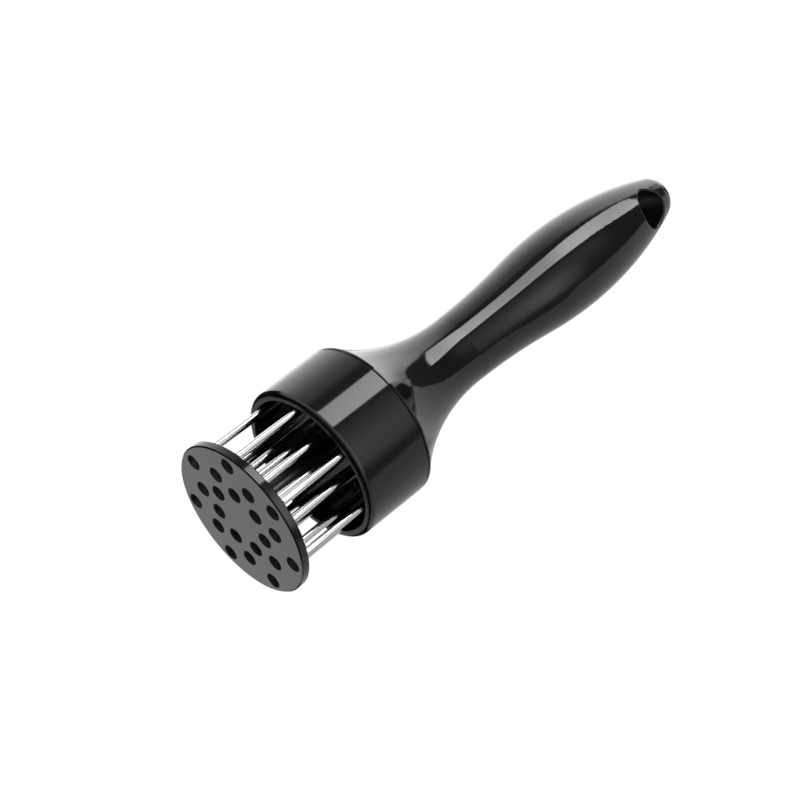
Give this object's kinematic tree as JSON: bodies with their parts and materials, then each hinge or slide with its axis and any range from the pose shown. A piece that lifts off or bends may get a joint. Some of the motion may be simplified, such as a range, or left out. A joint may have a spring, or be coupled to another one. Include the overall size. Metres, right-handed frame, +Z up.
{
  "type": "blade meat tenderizer",
  "caption": "Push-down meat tenderizer: a waisted handle with a hanging hole and a cup of pointed steel needles, covered by a spring-loaded round guard that slides up them.",
  "frame": {"origin": "centre of the guard disc's face, on which the tool stands", "axes": "+Z up from the guard's face along the needles and the handle to its tip; Y along the hanging hole, whose mouth the source view shows is on -Y; X across"},
  "size_m": [0.054, 0.054, 0.2053],
  "materials": {
    "handle_plastic": "glossy moulded",
    "cup_plastic": "glossy moulded",
    "guard_plastic": "satin-gloss moulded",
    "stem_plastic": "satin moulded",
    "inner_plastic": "satin moulded",
    "needle_steel": "drawn and polished stainless",
    "plated_steel": "bright zinc plated",
    "black_screws": "black zinc plated",
    "spring_steel": "drawn spring wire",
    "rubber": "matt moulded"
  },
  "bodies": {
    "tool": {"handle": "handle_plastic", "needle_cup": "cup_plastic", "backing_plate": "inner_plastic", "cup_screws": "black_screws", "needle_01": "needle_steel", "needle_02": "needle_steel", "needle_03": "needle_steel", "needle_04": "needle_steel", "needle_05": "needle_steel", "needle_06": "needle_steel", "needle_07": "needle_steel", "needle_08": "needle_steel", "needle_09": "needle_steel", "needle_10": "needle_steel", "needle_11": "needle_steel", "needle_12": "needle_steel", "needle_13": "needle_steel", "needle_14": "needle_steel", "needle_15": "needle_steel", "needle_16": "needle_steel", "needle_17": "needle_steel", "needle_18": "needle_steel", "needle_19": "needle_steel", "needle_20": "needle_steel", "needle_21": "needle_steel", "guide_bush": "inner_plastic", "stop_bumper": "rubber", "return_spring": "spring_steel", "spring_seat": "plated_steel"},
    "guard": {"guard_disc": "guard_plastic", "plunger_stem": "stem_plastic", "stop_washer": "plated_steel", "stop_screw": "plated_steel"}
  },
  "joints": [
    {"name": "guard_slide", "type": "slide", "parent": "tool", "child": "guard", "axis": [0, 0, 1], "range_m": [0, 0.025], "stiffness_N_per_m": 650, "springref_m": -0.0092, "deforming": ["return_spring"]}
  ]
}
